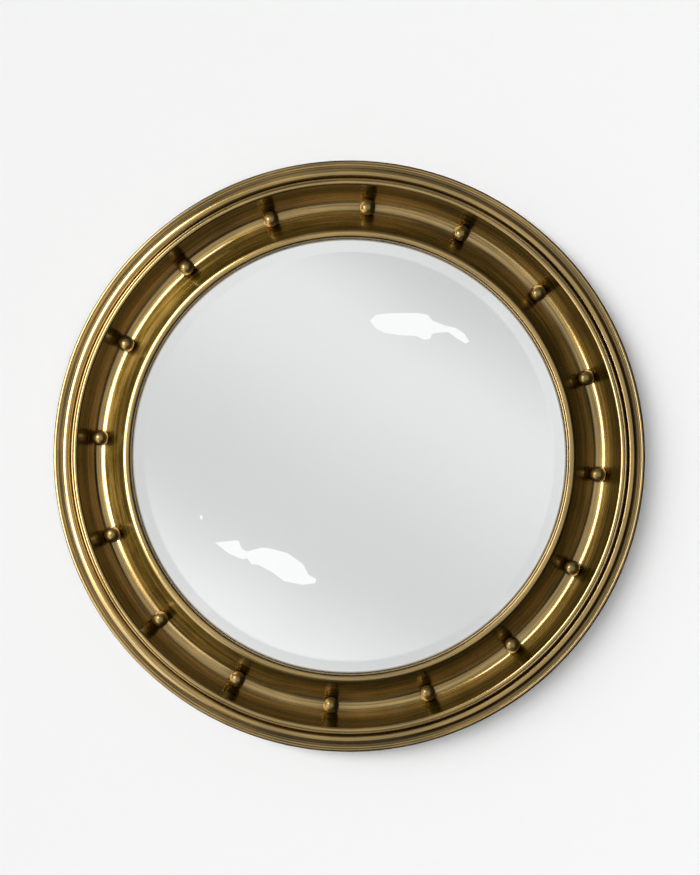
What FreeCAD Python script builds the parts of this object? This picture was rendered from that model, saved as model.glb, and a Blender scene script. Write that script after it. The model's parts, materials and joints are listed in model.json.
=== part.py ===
import FreeCAD, Part
import math
import os
import re

# Convex butlers mirror: a round wall mirror in a frame of spun sheet brass, with a ring of turned
# balls in its deep cove, a convex bevelled glass and two D rings behind to hang it by.
#
# Every piece is drawn lying on its back: X runs to the right, Y up the wall and Z out of the wall
# into the room, with Z = 0 in the plane of the wall and the Z axis through the mirror's centre.
# A piece's placement then stands it up, so that in the part's own frame +X is right, +Z is up
# and the mirror faces -Y.  Lengths are in millimetres, angles in degrees.

SIZES = {
    # the frame as a whole
    "outer_radius": 300.0,         # outermost edge of the frame
    "sheet_wall": 1.5,             # spun brass sheet
    "joint_gap": 0.3,              # between pieces that pass each other
    "fit_gap": 0.1,                # between a piece and the seat it is pressed on
    # outer moulding, from the rear rim round to the seat of the cove ring; each drop is
    # measured down from the top of the crest bead, the foremost ring of the frame
    "pad_thickness": 2.0,          # the wall pads hold the rear rim off the wall by this
    "pad_radius": 4.0,
    "rim_width": 11.0,             # rear rim, turned inwards
    "rim_bend": 2.5,               # outside radius of the rim's bend
    "skirt_setback": 2.7,          # the skirt stands back from the edge bead
    "edge_bead_radius": 2.1,
    "fillet_drop": 0.9,            # flat fillet below the top of the edge bead
    "edge_band": 5.2,              # edge bead and fillet together
    "quirk_width": 2.3,            # narrow groove between the fillet and the torus
    "quirk_depth": 4.6,
    "torus_foot": 4.0,             # upright wall between that groove and the torus
    "torus_radius": 5.4,
    "torus_drop": 2.6,
    "torus_turn": 63.0,            # how far the torus rounds over towards the deep quirk
    "seat_drop": 16.0,             # the cove ring's outer wall stands on this seat
    "seat_width": 10.3,
    # cove ring, from its outer wall over the cove to the inner bead
    "deep_quirk_width": 0.7,
    "reed_radius": 1.2,            # small bead beside the crest
    "reed_drop": 0.5,
    "reed_turn": 60.0,
    "groove_width": 0.4,
    "crest_bead_radius": 3.4,
    "crest_turn": 23.0,            # the crest bead's outer side stops at this slope
    "cove_outer_width": 24.0,      # from the crest to the balls
    "cove_inner_width": 27.7,      # from the balls to the inner bead
    "cove_floor_radius": 11.0,
    "cove_side_slope": 45.0,       # slope of the cove's outer side where it leaves the floor
    "cove_side_bend": 15.0,        # and how much steeper it is at the crest
    "cove_back_slope": 33.0,       # slope of the cove's inner side where it leaves the floor
    "cove_back_bend": 10.0,        # and how much steeper it is at the inner bead
    "inner_bead_radius": 6.0,
    "bead_turn": 28.0,             # how far the inner bead rounds over towards the glass
    # sight bezel
    "bezel_wall": 1.5,
    "lip_drop": 3.6,               # its lip lies below the top of the inner bead
    "sight_wall": 4.5,             # height of its wall between the lip and the flange
    "flange_margin": 2.7,          # the flange reaches past the glass
    # balls and their fixings
    "ball_count": 16,
    "ball_radius": 8.0,
    "ball_phase": 18.3,            # the first ball, anticlockwise from the right
    "stud_radius": 2.5,
    "stud_clearance": 0.2,
    "thread_gap": 0.05,
    "stud_proud": 0.4,             # the stud's end stands out of its nut
    "tip_gap": 1.0,                # between the studs' ends and the board
    "washer_radius": 6.0,
    "washer_thickness": 1.0,
    "nut_across_flats": 8.0,
    "nut_height": 4.0,
    # glass
    "rebate": 7.5,                 # the glass runs on this far behind the bezel
    "curve_radius": 1200.0,        # radius of the convex face
    "glass_thickness": 5.0,
    "bevel_width": 20.0,
    "bevel_angle": 8.0,            # between the bevel and the convex face beside it
    "gasket_thickness": 1.0,
    "gasket_inset": 0.5,
    "silver_gap": 0.05,
    "silver_thickness": 0.2,
    "silver_margin": 1.0,          # the silvering stops short of the glass's edge
    "spacer_inset": 1.0,
    "spacer_width": 14.0,
    # back board, its brackets and screws
    "board_thickness": 9.0,
    "board_clearance": 1.0,        # round the board, inside the rear rim
    "screw_margin": 8.0,           # from the board's edge to its screws
    "bracket_count": 8,
    "bracket_phase": 22.5,
    "bracket_width": 14.0,
    "bracket_wall": 1.5,
    "bracket_height": 10.0,
    "bracket_reach": 7.0,          # the bracket's foot reaches past its screw
    "screw_radius": 2.0,
    "screw_clearance": 0.2,
    "screw_length": 12.0,
    "head_radius": 4.0,
    "head_height": 2.4,
    # hangers
    "hanger_spacing": 300.0,
    "hanger_rise": 170.0,          # hinge axis above the mirror's centre
    "hanger_depth_gap": 1.2,       # between the straps' eyes and the wall
    "hinge_clearance": 0.08,
    "wire_radius": 1.5,
    "ring_lift": 0.3,              # between the hanging ring and its strap
    "ring_corner": 4.0,
    "ring_leg": 4.0,
    "ring_drop_gap": 1.5,          # between the hanging ring and the upper screw's head
    "strap_wall": 1.6,
    "strap_width": 14.0,
    "strap_side_gap": 0.5,         # between the strap's eye and the ring's bends
    "strap_corner": 4.0,
    "strap_end": 8.0,              # below the lower screw
    "screw_pitch": 15.5,
    "hanger_screw_length": 8.5,
    "pilot_spare": 1.0,            # the pilot hole is deeper than its screw
}

# Places that follow from the sizes.  Names ending in _r are radii about the mirror's axis and
# names ending in _z are heights above the wall; a _sweep is the radius of a wide arc.
PLACES = {
    # the stack behind the cove: hangers, board, stud, nut and washer set how far it stands out
    "hinge_standoff": "strap_wall + ring_lift + wire_radius",
    "board_recess": "hanger_depth_gap + 2 * hinge_standoff",
    "board_z": "board_recess + board_thickness",
    "stud_tip_z": "board_z + tip_gap",
    "nut_low_z": "stud_tip_z + stud_proud",
    "nut_z": "nut_low_z + nut_height",
    "washer_z": "nut_z + washer_thickness",
    "cove_z": "washer_z + fit_gap + sheet_wall",
    # radii of the outer moulding, from its edge inwards
    "skirt_r": "outer_radius - skirt_setback",
    "skirt_inner_r": "skirt_r - sheet_wall",
    "rim_inner_r": "skirt_r - rim_width",
    "edge_r": "outer_radius - edge_bead_radius",
    "fillet_outer_r": "edge_r - sqrt(edge_bead_radius^2 - (edge_bead_radius - fillet_drop)^2)",
    "fillet_inner_r": "outer_radius - edge_band",
    "torus_outer_r": "fillet_inner_r - quirk_width",
    "torus_r": "torus_outer_r - torus_radius",
    "flank_r": "torus_r - torus_radius * sin(torus_turn)",
    "flank_back_r": "flank_r + sheet_wall",
    "seat_inner_r": "flank_r - seat_width",
    # cove ring, in from the deep quirk and up from the floor of the cove to the crest
    "cove_lip_slope": "cove_side_slope + cove_side_bend",
    "bead_lip_slope": "cove_back_slope + cove_back_bend",
    "reed_outer_r": "flank_r - deep_quirk_width",
    "reed_r": "reed_outer_r - reed_radius",
    "reed_end_r": "reed_r - reed_radius * sin(reed_turn)",
    "crest_outer_r": "reed_end_r - groove_width",
    "crest_r": "crest_outer_r - crest_bead_radius * sin(crest_turn)",
    "crest_back_r": "crest_outer_r - sheet_wall",
    "lip_r": "crest_r - crest_bead_radius * sin(cove_lip_slope)",
    "balls_r": "crest_r - cove_outer_width",
    "side_r": "balls_r + cove_floor_radius * sin(cove_side_slope)",
    "side_sweep": "(lip_r - side_r) / (sin(cove_lip_slope) - sin(cove_side_slope))",
    "side_z": "cove_z + cove_floor_radius * (1 - cos(cove_side_slope))",
    "lip_z": "side_z + side_sweep * (cos(cove_side_slope) - cos(cove_lip_slope))",
    "crest_z": "lip_z - crest_bead_radius * cos(cove_lip_slope)",
    "frame_top_z": "crest_z + crest_bead_radius",
    "crest_outer_z": "crest_z + crest_bead_radius * cos(crest_turn)",
    "crest_back_z": "crest_z + sqrt((crest_bead_radius - sheet_wall)^2 - (crest_back_r - crest_r)^2)",
    "reed_top_z": "frame_top_z - reed_drop",
    "reed_z": "reed_top_z - reed_radius",
    "groove_z": "reed_z + reed_radius * cos(reed_turn)",
    # heights of the outer moulding, down from the crest
    "seat_z": "frame_top_z - seat_drop",
    "torus_top_z": "frame_top_z - torus_drop",
    "torus_z": "torus_top_z - torus_radius",
    "flank_z": "torus_z + torus_radius * cos(torus_turn)",
    "flank_back_z": "torus_z + sqrt((torus_radius - sheet_wall)^2 - (torus_r - flank_back_r)^2)",
    "quirk_z": "torus_z - torus_foot",
    "fillet_z": "quirk_z + quirk_depth",
    "edge_z": "fillet_z + fillet_drop - edge_bead_radius",
    "edge_joint_z": "edge_z - sqrt(edge_bead_radius^2 - (edge_r - skirt_r)^2)",
    # inner side of the cove, and the inner bead
    "back_r": "balls_r - cove_floor_radius * sin(cove_back_slope)",
    "back_z": "cove_z + cove_floor_radius * (1 - cos(cove_back_slope))",
    "bead_r": "balls_r - cove_inner_width",
    "bead_foot_r": "bead_r + inner_bead_radius * sin(bead_lip_slope)",
    "back_sweep": "(back_r - bead_foot_r) / (sin(bead_lip_slope) - sin(cove_back_slope))",
    "bead_foot_z": "back_z + back_sweep * (cos(cove_back_slope) - cos(bead_lip_slope))",
    "bead_z": "bead_foot_z - inner_bead_radius * cos(bead_lip_slope)",
    "bead_top_z": "bead_z + inner_bead_radius",
    "bead_wall_r": "bead_r - inner_bead_radius * sin(bead_turn)",
    "bead_wall_z": "bead_z + inner_bead_radius * cos(bead_turn)",
    "bead_back_r": "bead_wall_r + sheet_wall",
    "bead_back_z": "bead_z + sqrt((inner_bead_radius - sheet_wall)^2 - (bead_r - bead_back_r)^2)",
    # sight bezel and glass; the flange and the gasket lie parallel to the bevel
    "bezel_r": "bead_wall_r - joint_gap",
    "sight_r": "bezel_r - bezel_wall",
    "lip_top_z": "bead_top_z - lip_drop",
    "lip_side_z": "lip_top_z - bezel_wall / 2",
    "flange_z": "lip_top_z - sight_wall",
    "glass_r": "sight_r + rebate",
    "bevel_r": "glass_r - bevel_width",
    "dome_slope": "bevel_r / sqrt(curve_radius^2 - bevel_r^2)",
    "bevel_slope": "(dome_slope + tan(bevel_angle)) / (1 - dome_slope * tan(bevel_angle))",
    "slant": "sqrt(1 + bevel_slope^2)",
    "flange_r": "glass_r + flange_margin",
    "flange_outer_z": "flange_z - (flange_r - sight_r) * bevel_slope",
    "flange_back_z": "flange_z + sheet_wall * slant - (bezel_r - sight_r) * bevel_slope",
    "bead_end_z": "flange_z + sheet_wall * slant - (bead_wall_r - sight_r) * bevel_slope + joint_gap",
    "gasket_top_z": "flange_z - fit_gap * slant",
    "gasket_low_z": "gasket_top_z - gasket_thickness * slant",
    "glass_face_z": "gasket_low_z - fit_gap * slant",
    "bevel_z": "glass_face_z + (sight_r - bevel_r) * bevel_slope",
    "dome_z": "bevel_z - sqrt(curve_radius^2 - bevel_r^2)",
    "glass_edge_z": "bevel_z - bevel_width * bevel_slope",
    "glass_back_sweep": "curve_radius - glass_thickness",
    "silver_sweep": "glass_back_sweep - silver_gap",
    "silver_back_sweep": "silver_sweep - silver_thickness",
    "silver_r": "glass_r - silver_margin",
    "spacer_r": "silver_r - spacer_inset",
    "spacer_inner_r": "spacer_r - spacer_width",
    # balls and their fixings
    "ball_z": "cove_z + joint_gap + ball_radius",
    "stud_hole": "stud_radius + stud_clearance",
    # back board, pads and hangers; what hangs below a hinge axis is measured down from it
    "board_r": "rim_inner_r - board_clearance",
    "screws_r": "board_r - screw_margin",
    "bracket_r": "sqrt(skirt_inner_r^2 - (bracket_width / 2)^2) - fit_gap",
    "pads_r": "(rim_inner_r + skirt_r - rim_bend) / 2",
    "hinge_z": "board_recess - hinge_standoff",
    "ring_half": "strap_width / 2 + strap_side_gap + ring_corner",
    "ring_reach": "ring_corner + ring_leg + ring_half + wire_radius",
    "upper_screw": "ring_reach + ring_drop_gap + head_radius",
    "lower_screw": "upper_screw + screw_pitch",
    "strap_length": "lower_screw + strap_end",
}

LEFT, RIGHT = 1, -1

doc = FreeCAD.newDocument("butlers_mirror")
sheet = doc.addObject("Spreadsheet::Sheet", "Sizes")
places = doc.addObject("App::VarSet", "Places")


def formula(text):
    """Write a formula of plain size names the way the document's expressions need it."""

    def full_name(match):
        word = match.group(0)
        if word in SIZES:
            return "Sizes." + word
        if word in PLACES:
            return "Places." + word
        return word

    return re.sub(r"[a-z_]+", full_name, str(text))


def value(text):
    """The number that a formula gives with the document's present sizes."""
    result = doc.Sizes.evalExpression(formula(text))
    return float(getattr(result, "Value", result))


def fill_sizes():
    """Put the driving sizes in the spreadsheet and the places that follow from them in a set."""
    for row, (name, size) in enumerate(SIZES.items(), start=1):
        sheet.set(f"A{row}", name)
        sheet.set(f"B{row}", str(size))
        sheet.setAlias(f"B{row}", name)
    doc.recompute()
    for name, text in PLACES.items():
        places.addProperty("App::PropertyFloat", name, "Places")
        places.setExpression(name, formula(text))
        doc.recompute([places])


def new_body(label, right="0", depth="0", up="0", turn="0"):
    """A body that stands up on the wall; turn rotates it about the mirror's axis first."""
    body = doc.addObject("PartDesign::Body", label)
    body.Label = label
    body.setExpression(
        "Placement",
        formula(
            f"placement(vector({right}; -({depth}); {up}); "
            f"rotation(vector(1; 0; 0); 90) * rotation(vector(0; 0; 1); {turn}))"
        ),
    )
    return body


def origin_feature(body, role):
    return next(f for f in body.Origin.OriginFeatures if f.Role == role)


def new_sketch(body, name, plane, lift=None):
    """A sketch on one of the body's own origin planes, lifted off it by a formula if given."""
    sketch = body.newObject("Sketcher::SketchObject", name)
    sketch.AttachmentSupport = [(origin_feature(body, plane), "")]
    sketch.MapMode = "FlatFace"
    if lift is not None:
        sketch.setExpression("AttachmentOffset.Base.z", formula(lift))
    return sketch


def hold(sketch, constraint, text):
    """Add a constraint whose size is a formula."""
    index = sketch.addConstraint(constraint)
    sketch.setExpression(f"Constraints[{index}]", formula(text))


def fix_point(sketch, edge, end, across, along):
    """Fix an end of an edge at a place given by two formulas."""
    import Sketcher

    for kind, axis, text in (("DistanceX", -2, across), ("DistanceY", -1, along)):
        if str(text) == "0":
            sketch.addConstraint(Sketcher.Constraint("PointOnObject", edge, end, axis))
        else:
            hold(sketch, Sketcher.Constraint(kind, edge, end, value(text)), text)


def arc_between(start, end, radius, side):
    """The arc of less than half a circle from start to end that turns left or right."""
    chord = end - start
    rise = math.sqrt(max(radius**2 - (chord.Length / 2) ** 2, 0.0))
    normal = FreeCAD.Vector(-chord.y, chord.x, 0).normalize()
    centre = (start + end) / 2 + normal * (rise * side)
    first, last = (start, end) if side == LEFT else (end, start)
    angles = [math.atan2(p.y - centre.y, p.x - centre.x) for p in (first, last)]
    circle = Part.Circle(centre, FreeCAD.Vector(0, 0, 1), radius)
    return Part.ArcOfCircle(circle, angles[0], angles[1])


def draw_outline(sketch, corners, closed=True):
    """Draw an outline through corners.

    A corner is (across, along) when a straight edge leads to it, or (across, along, radius,
    LEFT or RIGHT) when an arc does.  All of these are formulas, and each is held by a
    constraint.  The first corner says how the last edge comes back to it.
    """
    import Sketcher

    points = [FreeCAD.Vector(value(c[0]), value(c[1]), 0) for c in corners]
    order = list(range(1, len(corners))) + ([0] if closed else [])
    ends = []
    for index in order:
        start, end, corner = points[index - 1], points[index], corners[index]
        if len(corner) == 2:
            edge = sketch.addGeometry(Part.LineSegment(start, end), False)
            ends.append((edge, 1, 2))
            continue
        radius, side = corner[2], corner[3]
        edge = sketch.addGeometry(arc_between(start, end, value(radius), side), False)
        ends.append((edge, 1, 2) if side == LEFT else (edge, 2, 1))
        hold(sketch, Sketcher.Constraint("Radius", edge, value(radius)), radius)
    for number, (edge, first, last) in enumerate(ends):
        corner = corners[order[number]]
        fix_point(sketch, edge, last, corner[0], corner[1])
        if number + 1 < len(ends) or closed:
            following = ends[(number + 1) % len(ends)]
            joint = Sketcher.Constraint("Coincident", edge, last, following[0], following[1])
            sketch.addConstraint(joint)
    if not closed:
        fix_point(sketch, ends[0][0], ends[0][1], corners[0][0], corners[0][1])


def draw_circle(sketch, across, along, radius):
    import Sketcher

    centre = FreeCAD.Vector(value(across), value(along), 0)
    circle = Part.Circle(centre, FreeCAD.Vector(0, 0, 1), value(radius))
    edge = sketch.addGeometry(circle, False)
    fix_point(sketch, edge, 3, across, along)
    hold(sketch, Sketcher.Constraint("Radius", edge, value(radius)), radius)


def turned(body, corners, axis_at=None):
    """Turn an outline about the body's Z axis, or about a line beside it at a given radius."""
    import Sketcher

    sketch = new_sketch(body, body.Label + "_section", "XZ_Plane")
    draw_outline(sketch, corners)
    axis = "V_Axis"
    if axis_at is not None:
        reach = value(axis_at)
        line = Part.LineSegment(FreeCAD.Vector(reach, 0, 0), FreeCAD.Vector(reach, 1, 0))
        edge = sketch.addGeometry(line, True)
        fix_point(sketch, edge, 1, axis_at, "0")
        sketch.addConstraint(Sketcher.Constraint("Vertical", edge))
        sketch.addConstraint(Sketcher.Constraint("DistanceY", edge, 1, edge, 2, 1.0))
        axis = "Axis0"
    turning = body.newObject("PartDesign::Revolution", body.Label + "_turning")
    turning.Profile = sketch
    turning.ReferenceAxis = (sketch, [axis])
    turning.Angle = 360
    doc.recompute()
    return turning


def padded(body, sketch, length, symmetric=False):
    pad = body.newObject("PartDesign::Pad", sketch.Label + "_pad")
    pad.Profile = sketch
    pad.SideType = "Symmetric" if symmetric else "One side"
    pad.setExpression("Length", formula(length))
    doc.recompute()
    return pad


def drilled(body, sketch, depth=None):
    """Cut the sketch's circles right through, or to a depth forwards of the sketch."""
    before = body.Shape.Volume
    pocket = body.newObject("PartDesign::Pocket", sketch.Label + "_holes")
    pocket.Profile = sketch
    if depth is None:
        pocket.Type = "ThroughAll"
        pocket.Midplane = True
    else:
        pocket.setExpression("Length", formula(depth))
        pocket.Reversed = True
    doc.recompute()
    if not body.Shape.Volume < before:
        raise RuntimeError(f"{pocket.Label} cuts nothing")
    return pocket


def repeated(body, features, count):
    """Repeat features evenly round the mirror's axis."""
    pattern = body.newObject("PartDesign::PolarPattern", body.Label + "_round")
    pattern.Originals = features
    pattern.Axis = (origin_feature(body, "Z_Axis"), [""])
    pattern.Angle = 360
    pattern.setExpression("Occurrences", formula(count))
    body.Tip = pattern
    doc.recompute()
    return pattern


def outer_moulding():
    """Rear rim, skirt, edge bead, fillet and torus, ending in the seat of the cove ring."""
    wall = "sheet_wall"
    body = new_body("outer_moulding")
    turned(body, [
        ("rim_inner_r", "pad_thickness"),
        ("skirt_r - rim_bend", "pad_thickness"),
        ("skirt_r", "pad_thickness + rim_bend", "rim_bend", LEFT),
        ("skirt_r", "edge_joint_z"),
        ("outer_radius", "edge_z", "edge_bead_radius", LEFT),
        ("fillet_outer_r", "fillet_z", "edge_bead_radius", LEFT),
        ("fillet_inner_r", "fillet_z"),
        ("fillet_inner_r", "quirk_z"),
        ("torus_outer_r", "quirk_z"),
        ("torus_outer_r", "torus_z"),
        ("torus_r", "torus_top_z", "torus_radius", LEFT),
        ("flank_r", "flank_z", "torus_radius", LEFT),
        ("flank_r", "seat_z"),
        ("seat_inner_r", "seat_z"),
        ("seat_inner_r", f"seat_z - {wall}"),
        ("flank_back_r", f"seat_z - {wall}"),
        ("flank_back_r", "flank_back_z"),
        ("torus_r", f"torus_top_z - {wall}", f"torus_radius - {wall}", RIGHT),
        (f"torus_outer_r - {wall}", "torus_z", f"torus_radius - {wall}", RIGHT),
        (f"torus_outer_r - {wall}", f"quirk_z - {wall}"),
        ("skirt_inner_r", f"quirk_z - {wall}"),
        ("skirt_inner_r", "pad_thickness + rim_bend"),
        ("skirt_r - rim_bend", f"pad_thickness + {wall}", f"rim_bend - {wall}", RIGHT),
        ("rim_inner_r", f"pad_thickness + {wall}"),
    ])
    return body


def behind(radius, height, slope, side):
    """The corner one sheet thickness behind a point of the cove, square to its slope."""
    return (
        f"{radius} + {side} * sheet_wall * sin({slope})",
        f"{height} - sheet_wall * cos({slope})",
    )


def cove_ring():
    """Outer wall, reed, crest bead, cove and inner bead, with a hole for each ball's stud."""
    wall = "sheet_wall"
    body = new_body("cove_ring", turn="ball_phase")
    turned(body, [
        (f"reed_outer_r - {wall}", "seat_z"),
        ("reed_outer_r", "seat_z"),
        ("reed_outer_r", "reed_z"),
        ("reed_r", "reed_top_z", "reed_radius", LEFT),
        ("reed_end_r", "groove_z", "reed_radius", LEFT),
        ("crest_outer_r", "groove_z"),
        ("crest_outer_r", "crest_outer_z"),
        ("crest_r", "frame_top_z", "crest_bead_radius", LEFT),
        ("lip_r", "lip_z", "crest_bead_radius", LEFT),
        ("side_r", "side_z", "side_sweep", RIGHT),
        ("balls_r", "cove_z", "cove_floor_radius", RIGHT),
        ("back_r", "back_z", "cove_floor_radius", RIGHT),
        ("bead_foot_r", "bead_foot_z", "back_sweep", RIGHT),
        ("bead_r", "bead_top_z", "inner_bead_radius", LEFT),
        ("bead_wall_r", "bead_wall_z", "inner_bead_radius", LEFT),
        ("bead_wall_r", "bead_end_z"),
        ("bead_back_r", "bead_end_z"),
        ("bead_back_r", "bead_back_z"),
        ("bead_r", f"bead_top_z - {wall}", f"inner_bead_radius - {wall}", RIGHT),
        (*behind("bead_foot_r", "bead_foot_z", "bead_lip_slope", -1), f"inner_bead_radius - {wall}", RIGHT),
        (*behind("back_r", "back_z", "cove_back_slope", -1), f"back_sweep + {wall}", LEFT),
        ("balls_r", f"cove_z - {wall}", f"cove_floor_radius + {wall}", LEFT),
        (*behind("side_r", "side_z", "cove_side_slope", 1), f"cove_floor_radius + {wall}", LEFT),
        (*behind("lip_r", "lip_z", "cove_lip_slope", 1), f"side_sweep + {wall}", LEFT),
        ("crest_back_r", "crest_back_z", f"crest_bead_radius - {wall}", RIGHT),
        ("crest_back_r", f"groove_z - {wall}"),
        (f"reed_outer_r - {wall}", f"groove_z - {wall}"),
    ])
    sketch = new_sketch(body, "stud_holes", "XY_Plane")
    draw_circle(sketch, "balls_r", "0", "stud_hole")
    holes = drilled(body, sketch)
    repeated(body, [holes], "ball_count")
    return body


def sight_bezel():
    """A round-edged wall inside the inner bead, with a flange that lies along the bevel."""
    body = new_body("sight_bezel")
    turned(body, [
        ("sight_r", "flange_z"),
        ("flange_r", "flange_outer_z"),
        ("flange_r", "flange_outer_z + sheet_wall * slant"),
        ("bezel_r", "flange_back_z"),
        ("bezel_r", "lip_side_z"),
        ("sight_r + bezel_wall / 2", "lip_top_z", "bezel_wall / 2", LEFT),
        ("sight_r", "lip_side_z", "bezel_wall / 2", LEFT),
    ])
    return body


def balls():
    """The balls, each turned in one piece with the stud that holds it."""
    made = []
    for number in range(int(value("ball_count"))):
        angle = f"(ball_phase + {number} * 360 / ball_count)"
        body = new_body(
            f"ball_{number + 1:02d}",
            right=f"balls_r * cos({angle})",
            depth="ball_z",
            up=f"balls_r * sin({angle})",
        )
        turned(body, [
            ("0", "stud_tip_z - ball_z"),
            ("stud_radius", "stud_tip_z - ball_z"),
            ("stud_radius", "-sqrt(ball_radius^2 - stud_radius^2)"),
            ("ball_radius", "0", "ball_radius", LEFT),
            ("0", "ball_radius", "ball_radius", LEFT),
        ])
        made.append(body)
    return made


def ball_washers():
    body = new_body("ball_washers", turn="ball_phase")
    washer = turned(body, [
        ("balls_r + stud_hole", "nut_z"),
        ("balls_r + washer_radius", "nut_z"),
        ("balls_r + washer_radius", "washer_z"),
        ("balls_r + stud_hole", "washer_z"),
    ], axis_at="balls_r")
    repeated(body, [washer], "ball_count")
    return body


def ball_nuts():
    body = new_body("ball_nuts", turn="ball_phase")
    sketch = new_sketch(body, "nut_outline", "XY_Plane", lift="nut_low_z")
    corner = "nut_across_flats / 2 / cos(30)"
    draw_outline(sketch, [
        (f"balls_r + {corner} * cos({60 * step + 30})", f"{corner} * sin({60 * step + 30})")
        for step in range(6)
    ])
    draw_circle(sketch, "balls_r", "0", "stud_radius + thread_gap")
    nut = padded(body, sketch, "nut_height")
    repeated(body, [nut], "ball_count")
    return body


def mirror_glass():
    """Convex glass of even thickness, with a wide bevel ground on its front."""
    body = new_body("mirror_glass")
    turned(body, [
        ("0", "dome_z + glass_back_sweep"),
        ("glass_r", "dome_z + sqrt(glass_back_sweep^2 - glass_r^2)", "glass_back_sweep", RIGHT),
        ("glass_r", "glass_edge_z"),
        ("bevel_r", "bevel_z"),
        ("0", "dome_z + curve_radius", "curve_radius", LEFT),
    ])
    return body


def mirror_silvering():
    """Silver and its backing paint, close behind the glass."""
    body = new_body("mirror_silvering")
    turned(body, [
        ("0", "dome_z + silver_back_sweep"),
        ("silver_r", "dome_z + sqrt(silver_back_sweep^2 - silver_r^2)", "silver_back_sweep", RIGHT),
        ("silver_r", "dome_z + sqrt(silver_sweep^2 - silver_r^2)"),
        ("0", "dome_z + silver_sweep", "silver_sweep", LEFT),
    ])
    return body


def glass_gasket():
    """Soft strip between the bezel's flange and the bevel."""
    body = new_body("glass_gasket")
    inner, outer = "sight_r + gasket_inset", "glass_r - gasket_inset"
    fall_inner = "gasket_inset * bevel_slope"
    fall_outer = "(rebate - gasket_inset) * bevel_slope"
    turned(body, [
        (inner, f"gasket_low_z - {fall_inner}"),
        (outer, f"gasket_low_z - {fall_outer}"),
        (outer, f"gasket_top_z - {fall_outer}"),
        (inner, f"gasket_top_z - {fall_inner}"),
    ])
    return body


def glass_spacer():
    """Foam ring that stands on the board and presses the glass forwards."""
    body = new_body("glass_spacer")
    under = "dome_z - fit_gap + sqrt(silver_back_sweep^2 - {0}^2)"
    turned(body, [
        ("spacer_inner_r", "board_z"),
        ("spacer_r", "board_z"),
        ("spacer_r", under.format("spacer_r")),
        ("spacer_inner_r", under.format("spacer_inner_r")),
    ])
    return body


def back_board():
    """Round board with clearance holes for its screws and pilot holes for the hangers."""
    body = new_body("back_board", turn="bracket_phase")
    outline = new_sketch(body, "board_outline", "XY_Plane", lift="board_recess")
    draw_circle(outline, "0", "0", "board_r")
    padded(body, outline, "board_thickness")
    pilots = new_sketch(body, "hanger_pilots", "XY_Plane", lift="board_recess")
    for side in ("-1", "1"):
        for drop in ("upper_screw", "lower_screw"):
            right, up = f"{side} * hanger_spacing / 2", f"(hanger_rise - {drop})"
            draw_circle(
                pilots,
                f"{right} * cos(bracket_phase) + {up} * sin(bracket_phase)",
                f"{up} * cos(bracket_phase) - {right} * sin(bracket_phase)",
                "screw_radius + thread_gap",
            )
    drilled(body, pilots, depth="hanger_screw_length - strap_wall + pilot_spare")
    clearance = new_sketch(body, "screw_clearance", "XY_Plane")
    draw_circle(clearance, "screws_r", "0", "screw_radius + screw_clearance")
    holes = drilled(body, clearance)
    repeated(body, [holes], "bracket_count")
    return body


def board_brackets():
    """Angle brackets soldered inside the skirt; the board's front lies on their feet."""
    body = new_body("board_brackets", turn="bracket_phase")
    sketch = new_sketch(body, "bracket_angle", "XZ_Plane")
    draw_outline(sketch, [
        ("screws_r - bracket_reach", "board_z"),
        ("bracket_r", "board_z"),
        ("bracket_r", "board_z + bracket_height"),
        ("bracket_r - bracket_wall", "board_z + bracket_height"),
        ("bracket_r - bracket_wall", "board_z + bracket_wall"),
        ("screws_r - bracket_reach", "board_z + bracket_wall"),
    ])
    angle = padded(body, sketch, "bracket_width", symmetric=True)
    tapping = new_sketch(body, "bracket_tapping", "XY_Plane")
    draw_circle(tapping, "screws_r", "0", "screw_radius + thread_gap")
    hole = drilled(body, tapping)
    repeated(body, [angle, hole], "bracket_count")
    return body


def screw_outline(axis, seat, length):
    """Half section of a domed screw that enters forwards from its seat."""
    return [
        (axis, f"{seat} - head_height"),
        (f"{axis} + head_radius", seat, "(head_radius^2 + head_height^2) / (2 * head_height)", LEFT),
        (f"{axis} + screw_radius", seat),
        (f"{axis} + screw_radius", f"{seat} + {length}"),
        (axis, f"{seat} + {length}"),
    ]


def board_screws():
    body = new_body("board_screws", turn="bracket_phase")
    screw = turned(body, screw_outline("screws_r", "board_recess", "screw_length"), axis_at="screws_r")
    repeated(body, [screw], "bracket_count")
    return body


def hanger_screws():
    """Four screws that hold the two straps to the board, as one group of separate solids."""
    group = doc.addObject("Part::Compound", "hanger_screws")
    screws = []
    for side, sign in (("left", "-1"), ("right", "1")):
        for drop in ("upper_screw", "lower_screw"):
            body = new_body(
                f"{side}_{drop}",
                right=f"{sign} * hanger_spacing / 2",
                depth="board_recess - strap_wall",
                up=f"hanger_rise - {drop}",
            )
            turned(body, screw_outline("0", "0", "hanger_screw_length"))
            screws.append(body)
    group.Links = screws
    doc.recompute()
    return group


def round_ends(body, feature, at, radius):
    """Round the upright edges of a pad that stand at a given Y."""
    names = []
    for number, edge in enumerate(feature.Shape.Edges, start=1):
        box = edge.BoundBox
        if box.XLength < 1e-6 and box.YLength < 1e-6 and abs(box.YMin - at) < 1e-6:
            names.append(f"Edge{number}")
    fillet = body.newObject("PartDesign::Fillet", body.Label + "_ends")
    fillet.Base = (feature, names)
    fillet.setExpression("Radius", formula(radius))
    doc.recompute()
    return fillet


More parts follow.
